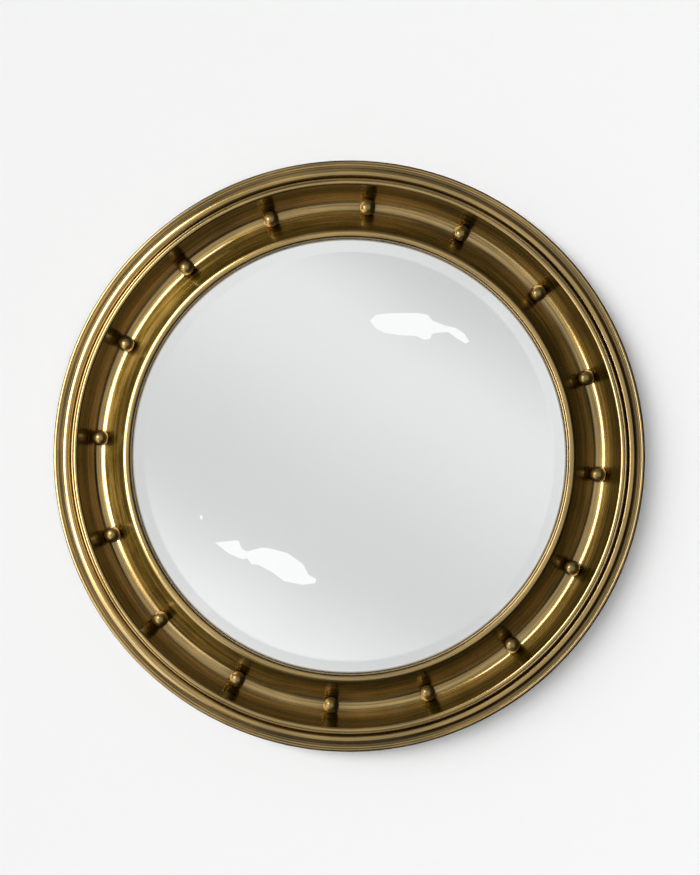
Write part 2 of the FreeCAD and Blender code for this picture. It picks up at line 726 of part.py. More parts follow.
def hanger_strap(side, sign):
    """Strap with an eye for the D ring, held by two screws below the eye."""
    body = new_body(
        f"hanger_strap_{side}",
        right=f"{sign} * hanger_spacing / 2",
        depth="hinge_z",
        up="hanger_rise",
    )
    rear = "hinge_standoff - strap_wall"
    profile = new_sketch(body, f"strap_profile_{side}", "YZ_Plane")
    draw_outline(profile, [
        ("-strap_length", rear),
        (f"-sqrt(hinge_standoff^2 - ({rear})^2)", rear),
        ("0", "-hinge_standoff", "hinge_standoff", LEFT),
        ("hinge_standoff", "0", "hinge_standoff", LEFT),
        ("0", "hinge_standoff", "hinge_standoff", LEFT),
        ("-strap_length", "hinge_standoff"),
    ])
    draw_circle(profile, "0", "0", "wire_radius + hinge_clearance")
    pad = padded(body, profile, "strap_width", symmetric=True)
    round_ends(body, pad, -value("strap_length"), "strap_corner")
    holes = new_sketch(body, f"strap_holes_{side}", "XY_Plane")
    for drop in ("upper_screw", "lower_screw"):
        draw_circle(holes, "0", f"-{drop}", "screw_radius + screw_clearance")
    drilled(body, holes)
    return body


def hanger_ring(side, sign):
    """D ring of round wire, hanging down from the eye of its strap."""
    body = new_body(
        f"hanger_ring_{side}",
        right=f"{sign} * hanger_spacing / 2",
        depth="hinge_z",
        up="hanger_rise",
    )
    half = "ring_half"
    path = new_sketch(body, f"ring_path_{side}", "XY_Plane")
    draw_outline(path, [
        ("0", "0"),
        (f"{half} - ring_corner", "0"),
        (half, "-ring_corner", "ring_corner", RIGHT),
        (half, "-ring_corner - ring_leg"),
        ("0", f"-ring_corner - ring_leg - {half}", half, RIGHT),
        (f"-{half}", "-ring_corner - ring_leg", half, RIGHT),
        (f"-{half}", "-ring_corner"),
        (f"ring_corner - {half}", "0", "ring_corner", RIGHT),
    ])
    section = new_sketch(body, f"ring_section_{side}", "YZ_Plane")
    draw_circle(section, "0", "0", "wire_radius")
    pipe = body.newObject("PartDesign::AdditivePipe", f"ring_wire_{side}")
    pipe.Profile = section
    pipe.Spine = (path, [f"Edge{number}" for number in range(1, 9)])
    doc.recompute()
    return body


def wall_pads():
    """Soft pads on the rear rim that touch the wall."""
    made = []
    for number in range(4):
        angle = 45 + 90 * number
        body = new_body(
            f"wall_pad_{number + 1:02d}",
            right=f"pads_r * cos({angle})",
            up=f"pads_r * sin({angle})",
        )
        sketch = new_sketch(body, f"pad_outline_{number + 1:02d}", "XY_Plane")
        draw_circle(sketch, "0", "0", "pad_radius")
        padded(body, sketch, "pad_thickness")
        made.append(body)
    return made


def check(piece):
    """Stop unless the piece, its features and its shape are sound."""
    for item in [piece] + list(getattr(piece, "Group", [])):
        if "Invalid" in item.State or "Error" in item.State:
            raise RuntimeError(f"{piece.Label}: {item.Label} is {item.State}")
    if piece.Shape.isNull() or not piece.Shape.isValid() or not piece.Shape.Solids:
        raise RuntimeError(f"{piece.Label} has no sound shape")


def main():
    fill_sizes()
    pieces = [outer_moulding(), cove_ring(), sight_bezel()]
    pieces += balls()
    pieces += [ball_washers(), ball_nuts(), mirror_glass(), mirror_silvering(), glass_gasket()]
    pieces += [glass_spacer(), back_board(), board_brackets(), board_screws()]
    for side, sign in (("left", "-1"), ("right", "1")):
        pieces += [hanger_strap(side, sign), hanger_ring(side, sign)]
    pieces.append(hanger_screws())
    pieces += wall_pads()
    doc.recompute()
    for piece in pieces:
        check(piece)
    os.makedirs("parts", exist_ok=True)
    for piece in pieces:
        piece.Shape.exportStep(f"parts/{piece.Label}.step")
    print(len(pieces), "nodes,", sum(len(piece.Shape.Solids) for piece in pieces), "solids")


main()
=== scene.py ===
import json
import math

import bmesh
import bpy
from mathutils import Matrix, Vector

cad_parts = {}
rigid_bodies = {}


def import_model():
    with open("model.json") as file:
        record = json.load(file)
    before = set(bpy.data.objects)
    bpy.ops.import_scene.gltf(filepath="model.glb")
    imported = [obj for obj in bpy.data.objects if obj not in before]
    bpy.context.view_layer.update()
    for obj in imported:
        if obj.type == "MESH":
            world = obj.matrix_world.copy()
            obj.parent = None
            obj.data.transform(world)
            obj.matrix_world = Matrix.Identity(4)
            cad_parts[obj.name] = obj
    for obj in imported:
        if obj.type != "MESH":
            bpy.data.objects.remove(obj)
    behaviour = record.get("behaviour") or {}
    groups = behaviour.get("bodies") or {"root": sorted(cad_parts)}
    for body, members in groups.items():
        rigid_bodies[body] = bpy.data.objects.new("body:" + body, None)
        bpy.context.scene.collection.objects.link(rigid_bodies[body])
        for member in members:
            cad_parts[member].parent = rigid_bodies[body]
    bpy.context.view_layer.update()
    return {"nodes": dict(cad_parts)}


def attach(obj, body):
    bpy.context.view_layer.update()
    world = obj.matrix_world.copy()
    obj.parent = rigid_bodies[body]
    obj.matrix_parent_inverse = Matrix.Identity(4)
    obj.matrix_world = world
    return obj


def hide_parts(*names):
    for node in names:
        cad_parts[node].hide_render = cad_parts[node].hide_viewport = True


MM = 0.001

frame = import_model()
ROOT = "mirror"


# ---------------------------------------------------------------- sizes, as in the part's source
#
# Lengths are in millimetres and angles in degrees. Names that end in _R, _IN and _OUT are radii
# about the mirror's axis; names that end in _Z are heights over the wall.

def sind(a):
    return math.sin(math.radians(a))


def cosd(a):
    return math.cos(math.radians(a))


WALL = 1.5  # the spun sheet
JOINT_GAP = 0.3
FIT_GAP = 0.1
OUTER = 300.0
PAD = 2.0
PAD_R = 4.0

# outer moulding, from the rear rim over the edge bead, the fillet and the quirk to the torus
SKIRT_R = OUTER - 2.7
RIM_R = SKIRT_R - 11.0
RIM_BEND = 2.5
BEND_R = SKIRT_R - RIM_BEND
BEND_Z = PAD + RIM_BEND
EDGE_BEAD = 2.1
EDGE_R = OUTER - EDGE_BEAD
FILLET_DROP = 0.9
FILLET_IN = OUTER - 5.2
TORUS = 5.4
TORUS_OUT = FILLET_IN - 2.3
TORUS_R = TORUS_OUT - TORUS
TORUS_TURN = 63.0
FLANK_R = TORUS_R - TORUS * sind(TORUS_TURN)
SEAT_WIDTH = 10.3

# cove ring, from the small bead over the crest bead and the cove to the inner bead
REED = 1.2
REED_TURN = 60
REED_OUT = FLANK_R - 0.7
REED_R = REED_OUT - REED
REED_IN = REED_R - REED * sind(REED_TURN)
CREST = 3.4
CREST_OUT = REED_IN - 0.4
CREST_TURN = 23.0
CREST_R = CREST_OUT - CREST * sind(CREST_TURN)
LIP, SIDE, BACK, BEAD_LIP = 60.0, 45.0, 33.0, 43.0  # slopes of the cove, from the crest inwards
FLOOR = 11.0
COVE_Z = 25.0
BALLS_R = CREST_R - 24.0
LIP_R = CREST_R - CREST * sind(LIP)
SIDE_R = BALLS_R + FLOOR * sind(SIDE)
SIDE_SWEEP = (LIP_R - SIDE_R) / (sind(LIP) - sind(SIDE))
SIDE_Z = COVE_Z + FLOOR * (1 - cosd(SIDE))
LIP_Z = SIDE_Z + SIDE_SWEEP * (cosd(SIDE) - cosd(LIP))
SIDE_CENTRE = (LIP_R - SIDE_SWEEP * sind(LIP), LIP_Z + SIDE_SWEEP * cosd(LIP))
CREST_Z = LIP_Z - CREST * cosd(LIP)
BACK_R = BALLS_R - FLOOR * sind(BACK)
BACK_Z = COVE_Z + FLOOR * (1 - cosd(BACK))
BEAD = 6.0
BEAD_R = BALLS_R - 27.7
FOOT_R = BEAD_R + BEAD * sind(BEAD_LIP)
BACK_SWEEP = (BACK_R - FOOT_R) / (sind(BEAD_LIP) - sind(BACK))
BACK_CENTRE = (BACK_R + BACK_SWEEP * sind(BACK), BACK_Z + BACK_SWEEP * cosd(BACK))
FOOT_Z = BACK_Z + BACK_SWEEP * (cosd(BACK) - cosd(BEAD_LIP))
BEAD_Z = FOOT_Z - BEAD * cosd(BEAD_LIP)
BEAD_TURN = 28.0
BEAD_WALL = BEAD_R - BEAD * sind(BEAD_TURN)

# heights that follow from the frame's top
TOP = CREST_Z + CREST
REED_Z = TOP - 0.5 - REED
GROOVE_Z = REED_Z + REED * cosd(REED_TURN)
SEAT_Z = TOP - 16.0
TORUS_Z = TOP - 2.6 - TORUS
QUIRK_Z = TORUS_Z - 4.0
FILLET_Z = QUIRK_Z + 4.6
EDGE_Z = FILLET_Z + FILLET_DROP - EDGE_BEAD

# sight bezel, gasket, glass, silvering and foam ring
BEZEL_R = BEAD_WALL - JOINT_GAP
SIGHT_R = BEZEL_R - WALL
LIP_TOP = BEAD_Z + BEAD - 3.6
FLANGE_Z = LIP_TOP - 4.5
CURVE = 1200.0
GLASS = 5.0
GLASS_BACK = CURVE - GLASS
REBATE = 7.5
GLASS_R = SIGHT_R + REBATE
BEVEL = 20.0
BEVEL_R = GLASS_R - BEVEL
DOME_SLOPE = BEVEL_R / math.sqrt(CURVE**2 - BEVEL_R**2)
BEVEL_TAN = math.tan(math.radians(8.0))
BEVEL_SLOPE = (DOME_SLOPE + BEVEL_TAN) / (1 - DOME_SLOPE * BEVEL_TAN)
SLANT = math.sqrt(1 + BEVEL_SLOPE**2)
FLANGE_R = GLASS_R + 2.7
GASKET = 1.0
GASKET_INSET = 0.5
GASKET_TOP = FLANGE_Z - FIT_GAP * SLANT
GASKET_LOW = GASKET_TOP - GASKET * SLANT
GLASS_FACE = GASKET_LOW - FIT_GAP * SLANT
BEVEL_Z = GLASS_FACE + (SIGHT_R - BEVEL_R) * BEVEL_SLOPE
DOME_Z = BEVEL_Z - math.sqrt(CURVE**2 - BEVEL_R**2)
SILVER_FRONT = GLASS_BACK - 0.05
SILVER_BACK = SILVER_FRONT - 0.2
SILVER_R = GLASS_R - 1.0
SPACER_R = SILVER_R - 1.0
SPACER_WIDTH = 14.0

# back board, balls, hangers and screws
BOARD_Z = 17.0
BOARD_BACK = BOARD_Z - 9.0
BALL = 8.0
BALL_Z = COVE_Z + 0.3 + BALL
BALL_PHASE = 18.3
BALL_COUNT = 16
STUD = 2.5
STUD_CHAMFER = 0.3
STUD_END = BOARD_Z + 1.0
STRAP = 1.6
HANGER_X = 150.0
HANGER_Z = 170.0
HANGER_SCREWS = (26.5, 42.0)  # how far below the hinge axis
BRACKET_PHASE = 22.5
BRACKET_COUNT = 8
SCREWS_R = RIM_R - 1.0 - 8.0
HEAD = 4.0
HEAD_HEIGHT = 2.4
SHANK = 2.0
BOARD_SCREW = 12.0
HANGER_SCREW = 8.5


# ---------------------------------------------------------------- mesh tools

def bend(cr, cz, radius, start, end, step=3.0):
    """Points of an arc. Its angles are measured from the front towards outwards."""
    count = max(2, int(abs(end - start) / step + 0.5))
    return [
        (cr + radius * sind(angle), cz + radius * cosd(angle))
        for angle in (start + (end - start) * i / count for i in range(count + 1))
    ]


def soften(points, corners, closed=True):
    """Round corners of an outline; corners maps a point's index to how far the rounding reaches."""
    out = []
    n = len(points)

    def walk(i, reach, step):
        here, left = Vector(points[i]), reach
        j = i
        passed = 0
        while True:
            nxt = Vector(points[(j + step) % n])
            length = (nxt - here).length
            if length >= left:
                return here + (nxt - here) * (left / length), passed
            left -= length
            here, j = nxt, (j + step) % n
            passed += 1

    skip = set()
    made = {}
    for i, reach in corners.items():
        a, before = walk(i, reach, -1)
        b, after = walk(i, reach, 1)
        p = Vector(points[i])
        made[i] = [a * (1 - t) ** 2 + p * (2 * t * (1 - t)) + b * t**2 for t in (0, 0.2, 0.4, 0.6, 0.8, 1)]
        for k in range(1, before + 1):
            skip.add((i - k) % n)
        for k in range(1, after + 1):
            skip.add((i + k) % n)
    for i, p in enumerate(points):
        if i in made:
            out += [tuple(q) for q in made[i]]
        elif i not in skip:
            out.append(tuple(p))
    return out


def fill_straights(points, longest=4.0):
    """Divide the long straight runs of a closed outline, so that shading stays even."""
    out = []
    for i, p in enumerate(points):
        q = points[(i + 1) % len(points)]
        out.append(p)
        gap = math.dist(p, q)
        for k in range(1, int(gap / longest) + 1):
            t = k / (int(gap / longest) + 1)
            out.append((p[0] + (q[0] - p[0]) * t, p[1] + (q[1] - p[1]) * t))
    return out


def to_world(right, up, depth):
    """The drawing's X, Y and Z, in millimetres, as a point of the part's frame."""
    return Vector((right, -depth, up)) * MM


def finish_mesh(bm, name, material, body, replaces=(), sharp=32.0):
    """Turn a bmesh into an object that rides on a body and stands for CAD nodes."""
    bmesh.ops.recalc_face_normals(bm, faces=bm.faces)
    mesh = bpy.data.meshes.new(name)
    for f in bm.faces:
        f.smooth = True
    bm.to_mesh(mesh)
    bm.free()
    mesh.set_sharp_from_angle(angle=math.radians(sharp))
    obj = bpy.data.objects.new(name, mesh)
    bpy.context.scene.collection.objects.link(obj)
    for m in material if isinstance(material, (list, tuple)) else [material]:
        mesh.materials.append(m)
    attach(obj, body)
    if replaces:
        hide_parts(*replaces)
    return obj


def lathe_into(bm, outline, segments=384, closed=True, centre=(0.0, 0.0), depth=0.0, index=0):
    """Turn an outline of (radius, height) points about an axis along the depth of the part."""
    rings = []
    for r, z in outline:
        if r < 1e-6:
            rings.append([bm.verts.new(to_world(centre[0], centre[1], z + depth))])
            continue
        rings.append([
            bm.verts.new(to_world(
                centre[0] + r * math.cos(2 * math.pi * k / segments),
                centre[1] + r * math.sin(2 * math.pi * k / segments),
                z + depth,
            ))
            for k in range(segments)
        ])
    pairs = list(zip(rings, rings[1:] + rings[:1])) if closed else list(zip(rings, rings[1:]))
    for a, b in pairs:
        if len(a) == 1 and len(b) == 1:
            continue
        for k in range(segments):
            m = (k + 1) % segments
            if len(a) == 1:
                f = bm.faces.new((a[0], b[k], b[m]))
            elif len(b) == 1:
                f = bm.faces.new((a[k], b[0], a[m]))
            else:
                f = bm.faces.new((a[k], b[k], b[m], a[m]))
            f.material_index = index


def lathe(name, outline, material, replaces=(), segments=384, closed=True, sharp=32.0):
    """Turn an outline about the mirror's axis into an object of its own."""
    bm = bmesh.new()
    lathe_into(bm, outline, segments, closed)
    return finish_mesh(bm, name, material, ROOT, replaces, sharp)


# ---------------------------------------------------------------- node tools

class Graph:
    """Short calls for building a material's nodes."""

    def __init__(self, tree):
        self.tree = tree
        self.nodes = tree.nodes
        self.links = tree.links

    def node(self, kind, inputs=None, **settings):
        n = self.nodes.new(kind)
        for key, val in settings.items():
            setattr(n, key, val)
        for key, val in (inputs or {}).items():
            self.put(n.inputs[key], val)
        return n

    def put(self, socket, val):
        if isinstance(val, bpy.types.NodeSocket):
            self.links.new(val, socket)
        else:
            socket.default_value = val

    def math(self, op, a, b=0.0):
        n = self.node("ShaderNodeMath", operation=op)
        self.put(n.inputs[0], a)
        self.put(n.inputs[1], b)
        return n.outputs[0]

    def remap(self, val, lo, hi, to_lo=0.0, to_hi=1.0):
        n = self.node("ShaderNodeMapRange", {
            "Value": val, "From Min": lo, "From Max": hi, "To Min": to_lo, "To Max": to_hi,
        })
        return n.outputs["Result"]

    def noise(self, vector, scale, detail=2.0, roughness=0.5, distortion=0.0):
        n = self.node("ShaderNodeTexNoise", {
            "Vector": vector, "Scale": scale, "Detail": detail,
            "Roughness": roughness, "Distortion": distortion,
        })
        return n.outputs["Fac"]

    def mix(self, fac, a, b):
        n = self.node("ShaderNodeMix", data_type="RGBA")
        self.put(n.inputs["Factor"], fac)
        self.put(n.inputs[6], a)
        self.put(n.inputs[7], b)
        return n.outputs[2]

    def ramp(self, fac, stops):
        n = self.node("ShaderNodeValToRGB")
        self.put(n.inputs["Fac"], fac)
        ramp = n.color_ramp
        while len(ramp.elements) > 1:
            ramp.elements.remove(ramp.elements[-1])
        ramp.elements[0].position = stops[0][0]
        ramp.elements[0].color = (*stops[0][1], 1)
        for at, colour in stops[1:]:
            e = ramp.elements.new(at)
            e.color = (*colour, 1)
        return n.outputs["Color"]

    def bump(self, height, strength, distance):
        n = self.node("ShaderNodeBump", {"Strength": strength, "Distance": distance, "Height": height})
        return n.outputs["Normal"]


def blank_material(name):
    mat = bpy.data.materials.new(name)
    mat.use_nodes = True
    g = Graph(mat.node_tree)
    g.nodes.clear()
    return mat, g, g.node("ShaderNodeOutputMaterial")


def new_material(name):
    mat, g, out = blank_material(name)
    shader = g.node("ShaderNodeBsdfPrincipled")
    g.links.new(shader.outputs[0], out.inputs[0])
    return mat, g, shader


def linear(r, g, b):
    """A colour given as 0 to 255, in linear light."""
    return tuple(
        ((c / 255 + 0.055) / 1.055) ** 2.4 if c > 10 else c / 255 / 12.92
        for c in (r, g, b)
    )


def round_coordinates(g, fine, along):
    """Coordinates that are stretched round the mirror's axis, so that noise turns into brush marks.

    fine is how many marks there are across a metre, along how they vary on the way round.
    """
    where = g.node("ShaderNodeTexCoord").outputs["Object"]
    parts = g.node("ShaderNodeSeparateXYZ", {"Vector": where})
    x, y, z = parts.outputs
    radius = g.math("SQRT", g.math("ADD", g.math("MULTIPLY", x, x), g.math("MULTIPLY", z, z)))
    slope = g.math("MULTIPLY", y, -0.7)
    across = g.math("MULTIPLY", g.math("ADD", radius, slope), fine)
    cx = g.math("MULTIPLY", g.math("DIVIDE", x, radius), along)
    cz = g.math("MULTIPLY", g.math("DIVIDE", z, radius), along)
    vector = g.node("ShaderNodeCombineXYZ", {"X": across, "Y": cx, "Z": cz}).outputs[0]
    return vector, where


def antique_brass(name, dark, mid, light, deep, streaks=1.0, rough=(0.22, 0.33), coat=1.0):
    """Brass with a brushed-on patina and a lacquer. Its deep tone is patina in the hollows and also
    painted shade; its light tone is worn brass on the beads and also painted highlight.
    """
    mat, g, shader = new_material(name)
    wide, where = round_coordinates(g, 230.0, 1.6)
    narrow, _ = round_coordinates(g, 820.0, 3.0)
    bands = g.noise(wide, 1.0, 3.0, 0.6)
    lines = g.noise(narrow, 1.0, 3.0, 0.6)
    cloud = g.noise(where, 22.0, 3.0, 0.55)

    # patina: streaks of two widths and a cloud, centred on the middle tone
    weight = 1.1 * streaks
    tone = g.math("ADD", g.math("MULTIPLY", bands, weight), g.math("MULTIPLY", lines, weight))
    tone = g.math("ADD", tone, g.math("MULTIPLY", cloud, 0.4))
    tone = g.math("ADD", tone, 0.3 - weight)
    colour = g.ramp(tone, [(0.28, dark), (0.5, mid), (0.75, light)])

    # the beads and edges get the light tone, worn brass that is also painted highlight; the hollows and
    # some shaded places get the deep tone, patina that is also painted shade
    wear = g.node("ShaderNodeAttribute", attribute_name="wear").outputs["Fac"]
    worn_and_highlit_amount = g.math("MULTIPLY", wear, g.remap(lines, 0.3, 0.65, 0.4, 1.0))
    worn_and_highlit_colour = g.mix(worn_and_highlit_amount, colour, (*light, 1))
    recess = g.node("ShaderNodeAttribute", attribute_name="recess").outputs["Fac"]
    patina_and_shade_amount = g.math("MULTIPLY", recess, g.remap(bands, 0.3, 0.7, 1.0, 0.78))
    g.put(shader.inputs["Base Color"], g.mix(patina_and_shade_amount, worn_and_highlit_colour, (*deep, 1)))

    shader.inputs["Metallic"].default_value = 1.0
    satin = g.math("ADD", g.math("MULTIPLY", lines, 0.7), g.math("MULTIPLY", cloud, 0.3))
    g.put(shader.inputs["Roughness"], g.remap(satin, 0.3, 0.7, rough[0], rough[1]))
    g.put(shader.inputs["Coat Weight"], g.remap(recess, 0.0, 1.0, coat, 0.4 * coat))
    shader.inputs["Coat Roughness"].default_value = 0.035
    shader.inputs["Coat IOR"].default_value = 1.75
    g.put(shader.inputs["Normal"], g.bump(lines, 0.10, 0.00006))
    return mat


def plain_metal(name, colour, spread, rough, metallic=1.0, coat=0.0):
    """A plated or painted surface whose tone varies by a spread about its colour."""
    mat, g, shader = new_material(name)
    where = g.node("ShaderNodeTexCoord").outputs["Object"]
    fine = g.noise(where, 180.0, 4.0, 0.6)
    broad = g.noise(where, 20.0, 2.0, 0.5)
    tone = g.math("ADD", g.math("MULTIPLY", fine, 0.5), g.math("MULTIPLY", broad, 0.5))
    darker = tuple(c * (1 - spread) for c in colour)
    lighter = tuple(min(1, c * (1 + spread)) for c in colour)
    g.put(shader.inputs["Base Color"], g.ramp(tone, [(0.3, darker), (0.55, colour), (0.75, lighter)]))
    shader.inputs["Metallic"].default_value = metallic
    g.put(shader.inputs["Roughness"], g.remap(tone, 0.3, 0.7, rough[0], rough[1]))
    shader.inputs["Coat Weight"].default_value = coat
    g.put(shader.inputs["Normal"], g.bump(fine, 0.15, 0.00005))
    return mat


def glass_material():
    mat, _, shader = new_material("clear_glass")
    shader.inputs["Base Color"].default_value = (0.985, 0.995, 0.99, 1)
    shader.inputs["Transmission Weight"].default_value = 1.0
    shader.inputs["Roughness"].default_value = 0.0
    shader.inputs["IOR"].default_value = 1.52
    return mat


def silver_material():
    """Silver behind the glass, with a faint veil."""
    mat, g, shader = new_material("silvering")
    where = g.node("ShaderNodeTexCoord").outputs["Object"]
    veil = g.noise(where, 3.0, 2.0, 0.5)
    g.put(shader.inputs["Base Color"], g.ramp(veil, [
        (0.3, (0.925, 0.93, 0.93)), (0.7, (0.95, 0.95, 0.95)),
    ]))
    shader.inputs["Metallic"].default_value = 1.0
    shader.inputs["Roughness"].default_value = 0.0
    return mat


def board_material():
    mat, g, shader = new_material("fibreboard")
    where = g.node("ShaderNodeTexCoord").outputs["Object"]
    fibre = g.noise(where, 900.0, 5.0, 0.7, 0.6)
    cloud = g.noise(where, 9.0, 3.0, 0.5)
    tone = g.math("ADD", g.math("MULTIPLY", fibre, 0.55), g.math("MULTIPLY", cloud, 0.45))
    g.put(shader.inputs["Base Color"], g.ramp(tone, [
        (0.3, linear(112, 78, 48)), (0.5, linear(140, 102, 66)), (0.7, linear(160, 122, 84)),
    ]))
    g.put(shader.inputs["Roughness"], g.remap(fibre, 0.3, 0.7, 0.62, 0.8))
    g.put(shader.inputs["Normal"], g.bump(fibre, 0.25, 0.0002))
    return mat


def soft_material(name, colour, scale, rough=0.95, sheen=0.3):
    """Felt, foam or rubber with a fuzzy surface."""
    mat, g, shader = new_material(name)
    where = g.node("ShaderNodeTexCoord").outputs["Object"]
    fuzz = g.noise(where, scale, 5.0, 0.75, 0.8)
    darker = tuple(c * 0.6 for c in colour)
    lighter = tuple(min(1, c * 1.5) for c in colour)
    g.put(shader.inputs["Base Color"], g.ramp(fuzz, [(0.3, darker), (0.7, lighter)]))
    shader.inputs["Roughness"].default_value = rough
    shader.inputs["Sheen Weight"].default_value = sheen
    g.put(shader.inputs["Normal"], g.bump(fuzz, 0.6, 0.0003))
    return mat


# ---------------------------------------------------------------- materials

# each brass's light tone is worn brass and also painted highlight; its deep tone is patina and also
# painted shade
brass = antique_brass(
    "antique_brass",
    dark=(0.145, 0.094, 0.008), mid=(0.30, 0.182, 0.030),
    light=(0.44, 0.28, 0.072), deep=(0.055, 0.042, 0.001),
)
ball_brass = antique_brass(
    "ball_brass",
    dark=(0.13, 0.09, 0.02), mid=(0.21, 0.14, 0.036),
    light=(0.35, 0.235, 0.075), deep=(0.07, 0.052, 0.006),
    streaks=0.4, rough=(0.31, 0.39), coat=0.35,
)
fixing_brass = plain_metal("fixing_brass", linear(200, 166, 98), 0.25, (0.25, 0.4))
bracket_brass = plain_metal("bracket_brass", linear(170, 138, 84), 0.35, (0.35, 0.5))
zinc = plain_metal("zinc_plate", linear(190, 186, 176), 0.2, (0.25, 0.42))
plated = plain_metal("brass_plated_steel", linear(172, 148, 100), 0.25, (0.2, 0.36), coat=0.2)
clear_glass = glass_material()
silver = silver_material()
backing = plain_metal("mirror_backing_paint", linear(120, 122, 124), 0.15, (0.5, 0.65), metallic=0.0)
board = board_material()
felt = soft_material("felt", linear(74, 62, 52), 1400.0)
foam = soft_material("foam", linear(66, 66, 66), 900.0, sheen=0.1)
rubber = soft_material("gasket_rubber", linear(40, 40, 40), 1200.0, rough=0.7, sheen=0.0)


# ---------------------------------------------------------------- the frame's rings

def mark(obj, wear, recess):
    """Store, from its place in the section, how far each point takes the light tone (worn brass and
    painted highlight) and the deep tone (patina and painted shade).
    """
    mesh = obj.data
    for name, rule in (("wear", wear), ("recess", recess)):
        layer = mesh.attributes.new(name, "FLOAT", "POINT")
        values = []
        for v in mesh.vertices:
            r = math.hypot(v.co.x, v.co.z) / MM
            values.append(rule(r, -v.co.y / MM))
        layer.data.foreach_set("value", values)


def near(value, centre, reach):
    """1 at the centre, easing to 0 where the reach ends."""
    t = max(0.0, 1.0 - abs(value - centre) / reach)
    return t * t * (3 - 2 * t)


def rise(value, start, end):
    """0 at the start, easing to 1 at the end."""
    t = min(1.0, max(0.0, (value - start) / (end - start)))
    return t * t * (3 - 2 * t)


def outer_moulding():
    w = WALL
    section = [(RIM_R, PAD), (BEND_R, PAD)]
    section += bend(BEND_R, BEND_Z, RIM_BEND, 180, 90, 15)[1:]
    start = 180 - math.degrees(math.asin((SKIRT_R - EDGE_R) / EDGE_BEAD))
    end = -math.degrees(math.acos((EDGE_BEAD - FILLET_DROP) / EDGE_BEAD))
    section += bend(EDGE_R, EDGE_Z, EDGE_BEAD, start, end, 8)
    corners = {len(section): 0.35}
    section += [(FILLET_IN, FILLET_Z), (FILLET_IN, QUIRK_Z), (TORUS_OUT, QUIRK_Z)]
    section += bend(TORUS_R, TORUS_Z, TORUS, 90, -TORUS_TURN)
    corners[len(section) - 1] = 0.5
    seat_in = FLANK_R - SEAT_WIDTH
    section += [(FLANK_R, SEAT_Z), (seat_in, SEAT_Z), (seat_in, SEAT_Z - w), (FLANK_R + w, SEAT_Z - w)]
    inner = -math.degrees(math.asin((TORUS_R - FLANK_R - w) / (TORUS - w)))
    section += bend(TORUS_R, TORUS_Z, TORUS - w, inner, 90, 6)
    section += [(TORUS_OUT - w, QUIRK_Z - w), (SKIRT_R - w, QUIRK_Z - w)]
    section += bend(BEND_R, BEND_Z, RIM_BEND - w, 90, 180, 15)
    section.append((RIM_R, PAD + w))
    section = fill_straights(soften(section, corners))
    obj = lathe("outer_moulding_spun", section, brass, ["outer_moulding"])

    # the light tone on the crowns of the beads and on their edges is worn brass and also a painted
    # highlight
    def wear(r, z):
        return max(
            0.25 * near(r, EDGE_R - 0.6, 1.6) * (z > EDGE_Z),  # edge bead
            0.55 * near(r, TORUS_R, 4.2) * (z > TORUS_Z),  # crown of the torus
            0.8 * near(r, FLANK_R, 0.6) * (z > TORUS_Z + 1.2),  # inner edge of the torus
            0.7 * near(r, FILLET_IN + 0.2, 0.6) * (z > FILLET_Z - 0.3),  # inner edge of the fillet
        )

    # the deep tone in the quirk is patina and also painted shade; on the walls of the deep quirk between
    # the rings and on the outer side of the edge bead it is painted shade alone, which dims the light
    # there
    def recess(r, z):
        return max(
            near(z, QUIRK_Z, 5.0) * near(r, (FILLET_IN + TORUS_OUT) / 2, 2.6),  # quirk
            0.6 * (r < FLANK_R + 0.2 and z < TORUS_Z + 0.8),  # wall of the deep quirk
            0.75 * rise(r, EDGE_R + 0.1, EDGE_R + 1.6),  # outer side of the edge bead
        )

    mark(obj, wear, recess)
    return obj


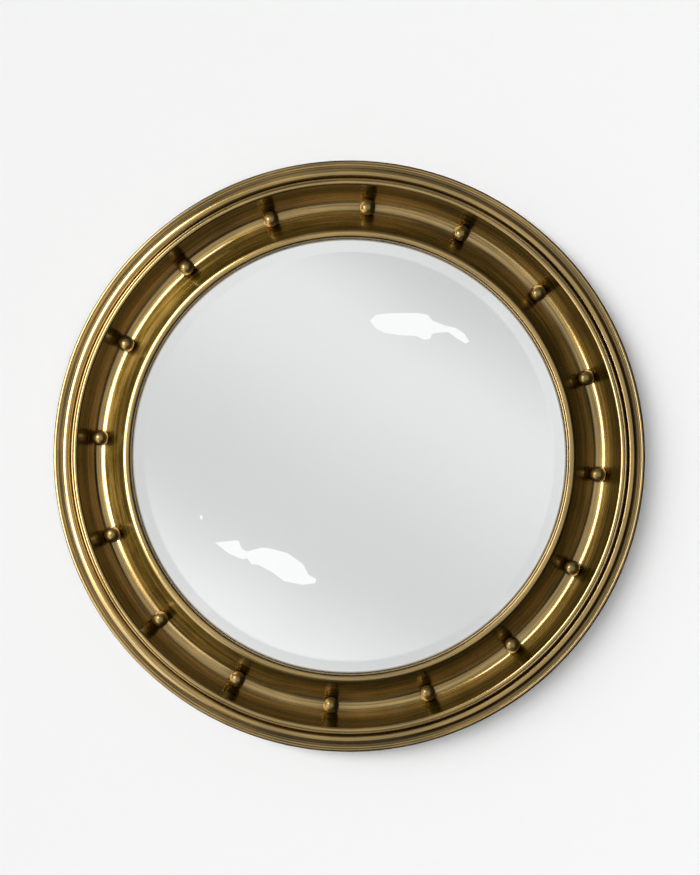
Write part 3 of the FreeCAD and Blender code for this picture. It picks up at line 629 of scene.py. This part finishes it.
def cove_ring():
    w = WALL
    section = [(REED_OUT - w, SEAT_Z), (REED_OUT, SEAT_Z)]
    section += bend(REED_R, REED_Z, REED, 90, -REED_TURN, 10)
    section.append((CREST_OUT, GROOVE_Z))
    corners = {len(section): 0.45}
    section += bend(CREST_R, CREST_Z, CREST, CREST_TURN, -LIP)
    section += bend(*SIDE_CENTRE, -SIDE_SWEEP, -LIP, -SIDE, 0.9)[1:]
    section += bend(BALLS_R, COVE_Z + FLOOR, -FLOOR, -SIDE, BACK, 2)[1:]
    section += bend(*BACK_CENTRE, -BACK_SWEEP, BACK, BEAD_LIP, 0.6)[1:]
    section += bend(BEAD_R, BEAD_Z, BEAD, BEAD_LIP, -BEAD_TURN)[1:]
    corners[len(section) - 1] = 0.5
    foot = FLANGE_Z + w * SLANT - (BEAD_WALL - SIGHT_R) * BEVEL_SLOPE + JOINT_GAP
    section += [(BEAD_WALL, foot), (BEAD_WALL + w, foot)]
    inner = -math.degrees(math.asin((BEAD_R - BEAD_WALL - w) / (BEAD - w)))
    section += bend(BEAD_R, BEAD_Z, BEAD - w, inner, BEAD_LIP, 6)
    section += bend(*BACK_CENTRE, -BACK_SWEEP - w, BEAD_LIP, BACK, 2)[1:]
    section += bend(BALLS_R, COVE_Z + FLOOR, -FLOOR - w, BACK, -SIDE, 5)[1:]
    section += bend(*SIDE_CENTRE, -SIDE_SWEEP - w, -SIDE, -LIP, 2)[1:]
    inner = math.degrees(math.asin((CREST_OUT - w - CREST_R) / (CREST - w)))
    section += bend(CREST_R, CREST_Z, CREST - w, -LIP, inner, 8)[1:]
    section += [(CREST_OUT - w, GROOVE_Z - w), (REED_OUT - w, GROOVE_Z - w)]
    section = fill_straights(soften(section, corners))
    obj = lathe("cove_ring_spun", section, brass, ["cove_ring"])

    # the light tone on the crowns and edges of the beads is worn brass and also a painted highlight
    def wear(r, z):
        return max(
            0.6 * near(r, CREST_R, 3.0) * (z > CREST_Z),  # crown of the crest bead
            0.6 * near(r, CREST_OUT, 0.6) * (z > CREST_Z),  # outer edge of the crest bead
            0.75 * near(r, BEAD_R, 3.2) * (z > BEAD_Z + 3),  # crown of the inner bead
            0.6 * near(r, BEAD_WALL, 0.7) * (z > BEAD_Z + 3),  # inner edge of the inner bead
        )

    # the deep tone in the groove and on the cove's steep walls is patina and also painted shade; on the
    # wall of the deep quirk and the wall beside the bezel it is painted shade between parts, and on the
    # small bead it is painted shade that dims its highlight
    def recess(r, z):
        return max(
            0.6 * (r > REED_OUT - 0.2 and z < REED_Z - 1),  # wall of the deep quirk
            0.7 * near(r, REED_IN - 0.2, 0.5) * (z < GROOVE_Z + 0.6),  # groove beside the crest
            0.35 * near(r, REED_R, 1.4) * (z > REED_Z - 1),  # small bead
            1.0 * (r < BEAD_WALL + 0.05 and z < BEAD_Z + 4.4),  # wall beside the bezel
            # the cove below the crest and below the inner bead
            0.8 * rise(r, BALLS_R + 9, BALLS_R + 17) * rise(r, LIP_R + 1.6, LIP_R - 0.4),
            0.7 * rise(r, BALLS_R - 14, BALLS_R - 23) * rise(r, FOOT_R - 2.2, FOOT_R - 0.2),
        )

    mark(obj, wear, recess)
    return obj


def sight_bezel():
    w = WALL
    flange_out = FLANGE_Z - (FLANGE_R - SIGHT_R) * BEVEL_SLOPE
    back = FLANGE_Z + w * SLANT - (BEZEL_R - SIGHT_R) * BEVEL_SLOPE
    section = [
        (SIGHT_R, FLANGE_Z), (FLANGE_R, flange_out), (FLANGE_R, flange_out + w * SLANT), (BEZEL_R, back),
    ]
    section += bend(SIGHT_R + w / 2, LIP_TOP - w / 2, w / 2, 90, -90, 12)
    section = fill_straights(section, 3.0)
    obj = lathe("sight_bezel_spun", section, brass, ["sight_bezel"])
    # the top of the lip takes the light tone as a painted highlight, partly worn brass; the flange under
    # the inner bead takes the deep tone as painted shade between the parts
    mark(
        obj,
        lambda r, z: 0.85 * (z > LIP_TOP - w * 0.6),
        lambda r, z: 1.0 * (r > SIGHT_R + 0.8 and z < LIP_TOP - 1.6),
    )
    return obj


def ball(number):
    angle = BALL_PHASE + (number - 1) * 360 / BALL_COUNT
    end = STUD_END - BALL_Z
    section = [(0.0, end), (STUD - STUD_CHAMFER, end), (STUD, end + STUD_CHAMFER)]
    low = 180 - math.degrees(math.asin(STUD / BALL))
    section += bend(0.0, 0.0, BALL, low, 0.0, 4)
    section[-1] = (0.0, BALL)
    bm = bmesh.new()
    lathe_into(bm, section, 96, False, (BALLS_R * cosd(angle), BALLS_R * sind(angle)), BALL_Z)
    name = f"ball_{number:02d}"
    obj = finish_mesh(bm, name + "_turned", ball_brass, ROOT, [name], 50)
    # the ball's front cap takes the light tone as a painted highlight, partly worn brass; its back half,
    # towards the cove, is darkened as painted shade
    mark(obj, lambda r, z: 0.35 * (z > BALL_Z + 4), lambda r, z: 0.7 * rise(z, BALL_Z + 4.0, BALL_Z - 1.0))
    return obj


# ---------------------------------------------------------------- the mirror

def dome(radius, reach, step=0.25):
    """Points of a dome about the glass's centre of curvature, from the mirror's axis out to a radius."""
    points = bend(0.0, DOME_Z, radius, 0.0, math.degrees(math.asin(reach / radius)), step)
    points[0] = (0.0, DOME_Z + radius)
    return points


def mirror_glass():
    section = dome(GLASS_BACK, GLASS_R)
    edge = BEVEL_Z - BEVEL * BEVEL_SLOPE
    section.append((GLASS_R, edge))
    section += [
        (GLASS_R + (BEVEL_R - GLASS_R) * t, edge + (BEVEL_Z - edge) * t) for t in (0.25, 0.5, 0.75)
    ]
    section += reversed(dome(CURVE, BEVEL_R))
    return lathe(
        "mirror_glass_bevelled", section, clear_glass, ["mirror_glass"], closed=False, sharp=3.0,
    )


def silvering():
    face = dome(SILVER_FRONT, SILVER_R)[::-1]
    rear = dome(SILVER_BACK, SILVER_R, 0.5)
    bm = bmesh.new()
    lathe_into(bm, face, closed=False)
    lathe_into(bm, rear + [face[0]], closed=False, index=1)
    bmesh.ops.remove_doubles(bm, verts=bm.verts, dist=1e-7)
    return finish_mesh(bm, "silvering_coat", [silver, backing], ROOT, ["mirror_silvering"], 30)


def soft_ring(name, outline, material, node, reach):
    """A soft ring, with each corner of its section rounded over a reach."""
    rounded = soften(outline, {i: reach for i in range(len(outline))})
    obj = lathe(name, fill_straights(rounded, 2.0), material, [node], 256)
    return obj


def gasket():
    inner, outer = SIGHT_R + GASKET_INSET, GLASS_R - GASKET_INSET
    low, high = GASKET_LOW, GASKET_TOP
    a, b = GASKET_INSET * BEVEL_SLOPE, (REBATE - GASKET_INSET) * BEVEL_SLOPE
    outline = [(inner, low - a), (outer, low - b), (outer, high - b), (inner, high - a)]
    return soft_ring("gasket_strip", outline, rubber, "glass_gasket", reach=0.36)


def spacer():
    outer = SPACER_R
    inner = outer - SPACER_WIDTH
    top = [(r, DOME_Z - FIT_GAP + math.sqrt(SILVER_BACK**2 - r**2)) for r in (outer, inner)]
    outline = [(inner, BOARD_Z), (outer, BOARD_Z)] + top
    return soft_ring("spacer_foam", outline, foam, "glass_spacer", reach=0.9)


def wall_pad(number):
    angle = 45 + 90 * (number - 1)
    radius = (RIM_R + BEND_R) / 2
    outline = [
        (0.0, PAD), (PAD_R - 0.25, PAD), (PAD_R - 0.07, PAD - 0.1), (PAD_R, PAD - 0.3),
        (PAD_R, 0.45), (PAD_R - 0.1, 0.15), (PAD_R - 0.4, 0.02), (PAD_R - 1.6, 0.0), (0.0, 0.0),
    ]
    bm = bmesh.new()
    lathe_into(bm, outline, 64, False, (radius * cosd(angle), radius * sind(angle)))
    name = f"wall_pad_{number:02d}"
    obj = finish_mesh(bm, name + "_felt", felt, ROOT, [name], 60)
    return obj


# ---------------------------------------------------------------- screws with a cross recess

def screw_into(bm, right, up, seat, length, turn):
    """A domed screw, entering forwards from its seat, with a cross cut in its head and a grooved shank."""
    arm, half_width, deep = 2.1, 0.42, 1.3  # of the cross
    pitch, groove = 1.4, 0.35  # of the thread
    dome_radius = (HEAD**2 + HEAD_HEIGHT**2) / (2 * HEAD_HEIGHT)
    segments = 64
    grid = []
    for r in [0.0, 0.35, 0.7, 1.05, 1.4, 1.75, 2.1, 2.45, 2.8, 3.2, 3.6, 3.85, HEAD]:
        z = HEAD_HEIGHT - (dome_radius - math.sqrt(dome_radius**2 - r**2))
        row = []
        for k in range(1 if r == 0 else segments):
            a = 2 * math.pi * k / segments
            x, y = r * math.cos(a + turn), r * math.sin(a + turn)
            u, v = abs(r * math.cos(a)), abs(r * math.sin(a))
            inside = max(0.0, 1.0 - (min(u, v) / half_width) ** 4) * (max(u, v) < arm + 0.05)
            sink = inside * deep * (1 - 0.55 * min(max(u, v) / arm, 1.0))
            row.append(bm.verts.new(to_world(right + x, up + y, seat - (z - sink))))
        grid.append(row)
    for a, b in zip(grid, grid[1:]):
        for k in range(segments):
            m = (k + 1) % segments
            if len(a) == 1:
                bm.faces.new((a[0], b[k], b[m]))
            else:
                bm.faces.new((a[k], b[k], b[m], a[m]))
    outline = [(HEAD, 0.0), (SHANK, 0.0)]
    z = 1.0
    while z < length - 2.0:
        outline += [(SHANK - groove, z), (SHANK, z + pitch / 2)]
        z += pitch
    outline += [(SHANK - groove, length - 1.6), (0.0, length)]
    lathe_into(bm, outline, segments, False, (right, up), seat)


def screw_group(name, places, seat, length, node):
    """Like screws at several places, each turned a little further than the one before."""
    bm = bmesh.new()
    for i, (right, up) in enumerate(places):
        screw_into(bm, right, up, seat, length, 0.7 * i + 0.3)
    bmesh.ops.remove_doubles(bm, verts=bm.verts, dist=1e-7)
    return finish_mesh(bm, name, zinc, ROOT, [node], 40)


outer_moulding().visible_diffuse = False  # or it would throw a golden glow on the wall
cove_ring()
sight_bezel()
for n in range(1, BALL_COUNT + 1):
    ball(n)
mirror_glass()
silvering()
gasket()
spacer()
for n in range(1, 5):
    wall_pad(n)
board_angles = [BRACKET_PHASE + 360 / BRACKET_COUNT * k for k in range(BRACKET_COUNT)]
screw_group("board_screws_cut", [
    (SCREWS_R * cosd(angle), SCREWS_R * sind(angle)) for angle in board_angles
], BOARD_BACK, BOARD_SCREW, "board_screws")
screw_group("hanger_screws_cut", [
    (side * HANGER_X, HANGER_Z - drop) for side in (-1, 1) for drop in HANGER_SCREWS
], BOARD_BACK - STRAP, HANGER_SCREW, "hanger_screws")

# nodes that keep their CAD mesh
carried = {
    "ball_washers": fixing_brass,
    "ball_nuts": fixing_brass,
    "board_brackets": bracket_brass,
    "back_board": board,
    "hanger_strap_left": plated,
    "hanger_strap_right": plated,
    "hanger_ring_left": plated,
    "hanger_ring_right": plated,
}
for node, material in carried.items():
    mesh = frame["nodes"][node].data
    mesh.materials.clear()
    mesh.materials.append(material)
for node in ("hanger_strap_left", "hanger_strap_right", "board_brackets", "ball_nuts"):
    edge = frame["nodes"][node].modifiers.new("eased_edges", "BEVEL")
    edge.width = 0.00025
    edge.segments = 3
    edge.limit_method = "ANGLE"
    edge.angle_limit = math.radians(40)


# ---------------------------------------------------------------- wall, floor, light, camera

def stage_plane(name, corners, material):
    mesh = bpy.data.meshes.new(name)
    mesh.from_pydata(corners, [], [tuple(range(len(corners)))])
    mesh.materials.append(material)
    obj = bpy.data.objects.new(name, mesh)
    bpy.context.scene.collection.objects.link(obj)
    return obj


def paint(name, colour):
    """Matt paint on the front of a plane, which is clear from behind."""
    mat, g, out = blank_material(name)
    matt = g.node("ShaderNodeBsdfDiffuse", {"Color": (*colour, 1), "Roughness": 0.5})
    clear = g.node("ShaderNodeBsdfTransparent")
    side = g.node("ShaderNodeNewGeometry").outputs["Backfacing"]
    both = g.node("ShaderNodeMixShader", {0: side, 1: matt.outputs[0], 2: clear.outputs[0]})
    g.links.new(both.outputs[0], out.inputs[0])
    return mat


def glow(name, colour, strength):
    mat, g, out = blank_material(name)
    light = g.node("ShaderNodeEmission", {"Color": (*colour, 1), "Strength": strength})
    g.links.new(light.outputs[0], out.inputs[0])
    return mat, g, light


def room_card():
    """A pale wall across the room, seen only in the mirror and the brass."""
    mat, g, light = glow("room_pale", (1, 1, 1), 1.093)
    where = g.node("ShaderNodeTexCoord").outputs["Object"]
    x, _, z = g.node("ShaderNodeSeparateXYZ", {"Vector": where}).outputs
    slant = g.math("ADD", g.math("MULTIPLY", z, 0.866), g.math("MULTIPLY", x, 0.5))
    drift = g.math("MULTIPLY", g.math("SUBTRACT", g.noise(where, 0.8, 1.0, 0.5), 0.5), 0.3)
    grey = g.ramp(g.remap(g.math("ADD", slant, drift), -2.0, 2.0), [
        (t / 4.0 + 0.5, linear(c, c, c)) for t, c in ((-1.9, 240), (-0.7, 212), (0.85, 230), (1.9, 202))
    ])
    grey.node.color_ramp.interpolation = "EASE"
    g.put(light.inputs["Color"], grey)
    y, span = -3.4, 2.3
    corners = [(-span, y, -span), (-span, y, span), (span, y, span), (span, y, -span)]
    card = stage_plane("room_across", corners, mat)
    card.visible_camera = card.visible_diffuse = card.visible_shadow = False


# the picture's camera: focal length and size in pixels, place in millimetres
FOCAL = 2919.0
PICTURE = (700.0, 875.0)
CAMERA = Vector((0.72, -3000.0, 18.9))
GLEAM_Y = -0.53

# where the gleams lie in the mirror, in pixels of the picture
SPECK = [(199, 516), (201, 515.5), (202, 517.5), (201, 520), (199.3, 519.5)]
UPPER_GLEAM = [
    (370, 320), (376, 314), (390, 312.5), (416, 312), (428, 314), (433, 320), (446, 325),
    (456, 327), (465, 333), (470, 341), (466, 343), (458, 338), (449, 331.5), (438, 332),
    (433, 333), (430, 338.5), (424, 339), (417, 335.5), (400, 334.5), (386, 332.5), (376, 328),
]
LOWER_GLEAM = [
    (214, 543), (232, 541), (238, 541), (241, 549), (246, 552), (262, 548), (270, 549),
    (288, 554), (303, 565), (308, 575), (316, 580), (315, 584), (302, 585.5), (284, 582),
    (272, 573), (257, 565), (251, 565), (247, 559), (242, 560), (228, 554),
]


def on_card(px, py):
    """Where the mirror shows a pixel of the picture, on a plane before the wall."""
    ray = Vector(((px - PICTURE[0] / 2) / FOCAL, 1.0, -(py - PICTURE[1] / 2) / FOCAL)).normalized()
    centre = Vector((0.0, -DOME_Z, 0.0))
    to = CAMERA - centre
    b = to.dot(ray)
    t = -b - math.sqrt(b * b - to.length_squared + CURVE**2)
    hit = CAMERA + ray * t
    normal = (hit - centre).normalized()
    away = ray - normal * (2 * ray.dot(normal))
    s = (GLEAM_Y / MM - hit.y) / away.y
    p = hit + away * s
    return (p.x * MM, GLEAM_Y, p.z * MM)


def gleam(name, outline):
    """A white card that the mirror shows inside an outline, given in pixels of the picture."""
    mat, _, _ = glow(name + "_glow", (1, 1, 1), 1.04)
    obj = stage_plane(name, [on_card(*p) for p in outline], mat)
    obj.visible_camera = obj.visible_diffuse = obj.visible_shadow = False


def area_light(name, place, target, size, radiance):
    data = bpy.data.lights.new(name, "AREA")
    data.shape = "RECTANGLE"
    data.size, data.size_y = size
    data.energy = radiance * math.pi * size[0] * size[1]
    obj = bpy.data.objects.new(name, data)
    bpy.context.scene.collection.objects.link(obj)
    obj.location = place
    obj.rotation_euler = (Vector(target) - Vector(place)).to_track_quat("-Z", "Y").to_euler()
    return obj


def light_only(light, name, materials):
    """Let a light fall on nothing but the pieces made of some of the materials."""
    chosen = bpy.data.collections.new(name)
    for obj in bpy.context.scene.objects:
        if obj.type == "MESH" and any(m in materials for m in obj.data.materials):
            chosen.objects.link(obj)
    light.light_linking.receiver_collection = chosen


# the wall stands a hair behind the part, and nothing mirrors it
wall_y = 0.0003
wall = stage_plane("wall", [
    (-4, wall_y, -3), (4, wall_y, -3), (4, wall_y, 4), (-4, wall_y, 4),
], paint("wall_paint", (0.86, 0.86, 0.86)))
wall.visible_shadow = wall.visible_glossy = False
floor_z = -0.75
floor = stage_plane("floor", [
    (-3, -1.7, floor_z), (3, -1.7, floor_z), (3, 3.0, floor_z), (-3, 3.0, floor_z),
], paint("floor_paint", (0.8, 0.8, 0.8)))
floor.visible_diffuse = floor.visible_glossy = floor.visible_transmission = floor.visible_shadow = False

# what the mirror shows: a pale room and three white gleams
room_card()
gleam("gleam_speck", SPECK)
gleam("gleam_upper", UPPER_GLEAM)
gleam("gleam_lower", LOWER_GLEAM)

# two key lights from the upper left for the frame and the balls, a weaker one from below, and one
# behind that shows the back in views from there
key = area_light("key_left", (-0.72, -0.62, 0.24), (0.0, 0.0, 0.02), (0.56, 1.20), 9.0)
ball_key = area_light("key_balls", (-0.70, -0.66, 0.20), (0.0, 0.0, 0.02), (0.40, 0.44), 9.0)
low = area_light("low_left", (-0.80, -0.30, -0.50), (0.0, -0.03, 0.0), (1.1, 0.8), 1.9)
key.visible_diffuse = ball_key.visible_diffuse = low.visible_diffuse = False
light_only(key, "lit_by_key", (brass, fixing_brass, plated))
light_only(ball_key, "balls", (ball_brass,))
light_only(low, "lit_from_low", (brass, ball_brass, fixing_brass, plated))
fill = area_light("fill_behind", (0.0, 1.8, 0.35), (0.0, 0.0, 0.0), (1.2, 1.2), 4.0)
light_only(fill, "lit_from_behind", [m for m in bpy.data.materials if m not in (brass, ball_brass)])

# soft daylight on the wall: a row of wide suns that swings from the right over the front to the left
scene = bpy.context.scene
FIRST, LAST, STEP = -25, 75, 11
BRIGHTEST, SPREAD = 21.2, 19.7
for turn in range(FIRST, LAST, STEP):
    data = bpy.data.lights.new(f"daylight_{turn - FIRST:02d}", "SUN")
    data.energy = 0.689 * math.exp(-0.5 * ((turn - BRIGHTEST) / SPREAD) ** 2)
    data.angle = math.radians(STEP)
    sun = bpy.data.objects.new(data.name, data)
    scene.collection.objects.link(sun)
    come = Vector((-0.894 * sind(turn), -cosd(turn), 0.448 * sind(turn)))
    sun.rotation_euler = (-come).to_track_quat("-Z", "Y").to_euler()
    sun.visible_glossy = sun.visible_transmission = False

# the room's light is stronger from the upper left; the camera sees plain grey
world = bpy.data.worlds.new("studio")
scene.world = world
world.use_nodes = True
g = Graph(world.node_tree)
g.nodes.clear()
out = g.node("ShaderNodeOutputWorld")
way = g.node("ShaderNodeTexCoord").outputs["Generated"]
wx, _, wz = g.node("ShaderNodeSeparateXYZ", {"Vector": way}).outputs
side = g.math("ADD", g.math("MULTIPLY", wx, -0.85), g.math("MULTIPLY", wz, 0.35))
level = g.remap(side, -0.6, 0.9, 0.02, 0.52)
room = g.node("ShaderNodeBackground", {"Color": (1, 1, 1, 1), "Strength": level})
seen = g.node("ShaderNodeBackground", {"Color": (0.9, 0.9, 0.9, 1), "Strength": 1.0})
direct = g.node("ShaderNodeLightPath").outputs["Is Camera Ray"]
sky = g.node("ShaderNodeMixShader", {0: direct, 1: room.outputs[0], 2: seen.outputs[0]})
g.links.new(sky.outputs[0], out.inputs[0])

camera = bpy.data.cameras.new("camera")
camera.sensor_width = 36.0
camera.lens = FOCAL * camera.sensor_width / PICTURE[1]
camera.clip_start = 0.05
eye = bpy.data.objects.new("camera", camera)
scene.collection.objects.link(eye)
eye.location = CAMERA * MM
eye.rotation_euler = (math.pi / 2, 0.0, 0.0)
scene.camera = eye
scene.view_settings.view_transform = "Standard"
